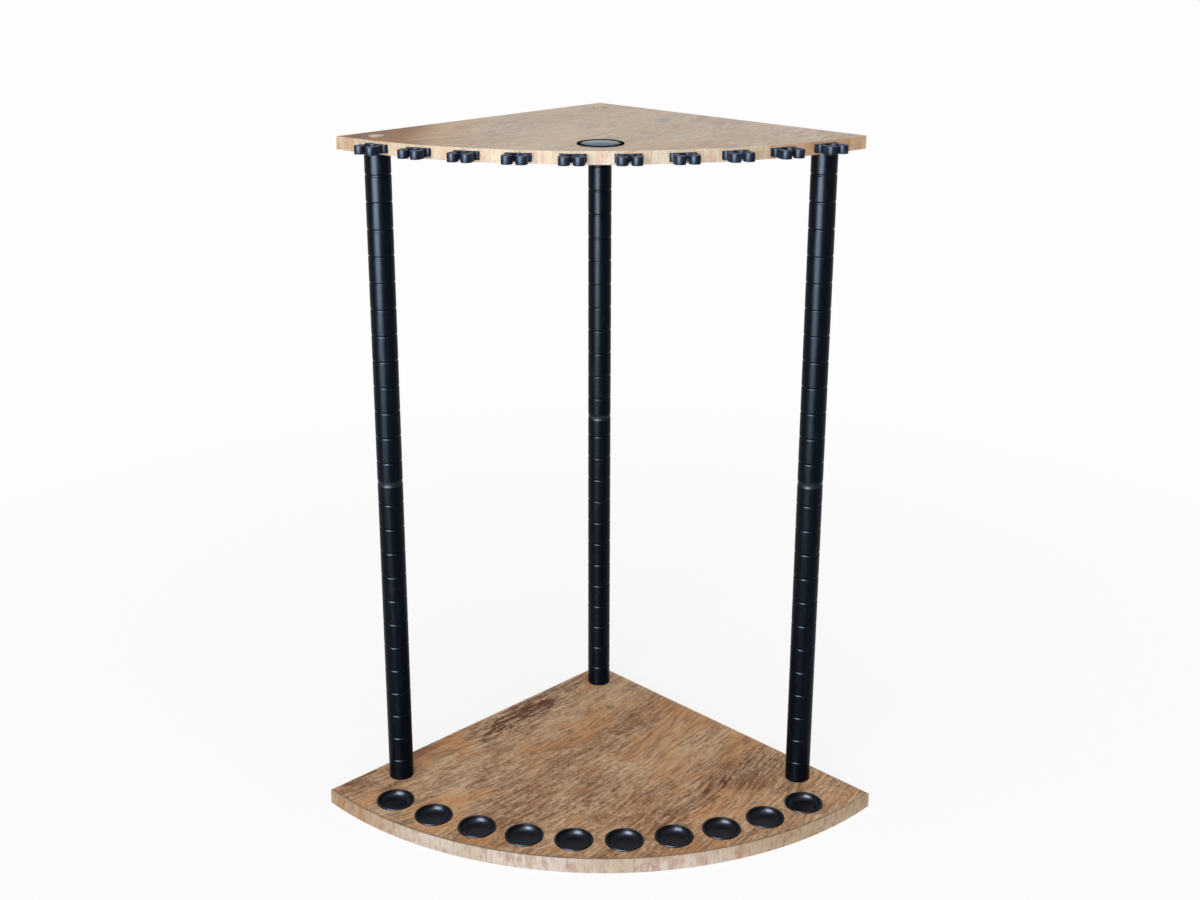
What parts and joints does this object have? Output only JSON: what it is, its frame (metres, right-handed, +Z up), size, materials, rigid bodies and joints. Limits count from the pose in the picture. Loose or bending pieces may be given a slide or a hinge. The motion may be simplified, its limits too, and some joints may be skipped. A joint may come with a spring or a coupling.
{
  "type": "rod rack",
  "caption": "Corner stand for fishing rods: quarter-round wood base and top on ringed tube posts, with butt cups let into the base and snap clips along the top's curved edge.",
  "frame": {"origin": "middle of the base's footprint, on the floor", "axes": "+Z up along the posts, +Y to the back corner that fits a room's corner, +X to the rack's right seen from the front"},
  "size_m": [0.5516, 0.3948, 0.683],
  "materials": {
    "wood_panel": "matt wood-grain laminate",
    "edge_band": "pale wood-tone edge band",
    "post_tube": "satin black",
    "coupler": "satin dark grey",
    "plug": "plain moulding",
    "screw_cover": "pale wood-tone disc",
    "screw_steel": "zinc plated",
    "screw_black": "blackened",
    "badge": "gloss black",
    "cup_rubber": "satin black",
    "clip_rubber": "satin blue-black"
  },
  "bodies": {
    "root": {"base_panel": "wood_panel", "base_band_front": "edge_band", "base_band_left": "edge_band", "base_band_right": "edge_band", "top_panel": "wood_panel", "top_band_front": "edge_band", "top_band_left": "edge_band", "top_band_right": "edge_band", "back_lower_tube": "post_tube", "left_lower_tube": "post_tube", "right_lower_tube": "post_tube", "back_upper_tube": "post_tube", "left_upper_tube": "post_tube", "right_upper_tube": "post_tube", "back_post_coupler": "coupler", "left_post_coupler": "coupler", "right_post_coupler": "coupler", "back_foot_plug": "plug", "left_foot_plug": "plug", "right_foot_plug": "plug", "back_head_plug": "plug", "left_head_plug": "plug", "right_head_plug": "plug", "back_screw_cover": "screw_cover", "left_screw_cover": "screw_cover", "right_screw_cover": "screw_cover", "base_screws": "screw_steel", "top_screws": "screw_steel", "clip_screws": "screw_black", "round_badge": "badge", "butt_cup_1": "cup_rubber", "butt_cup_2": "cup_rubber", "butt_cup_3": "cup_rubber", "butt_cup_4": "cup_rubber", "butt_cup_5": "cup_rubber", "butt_cup_6": "cup_rubber", "butt_cup_7": "cup_rubber", "butt_cup_8": "cup_rubber", "butt_cup_9": "cup_rubber", "butt_cup_10": "cup_rubber", "rod_clip_1": "clip_rubber", "rod_clip_2": "clip_rubber", "rod_clip_3": "clip_rubber", "rod_clip_4": "clip_rubber", "rod_clip_5": "clip_rubber", "rod_clip_6": "clip_rubber", "rod_clip_7": "clip_rubber", "rod_clip_8": "clip_rubber", "rod_clip_9": "clip_rubber", "rod_clip_10": "clip_rubber"}
  },
  "joints": []
}
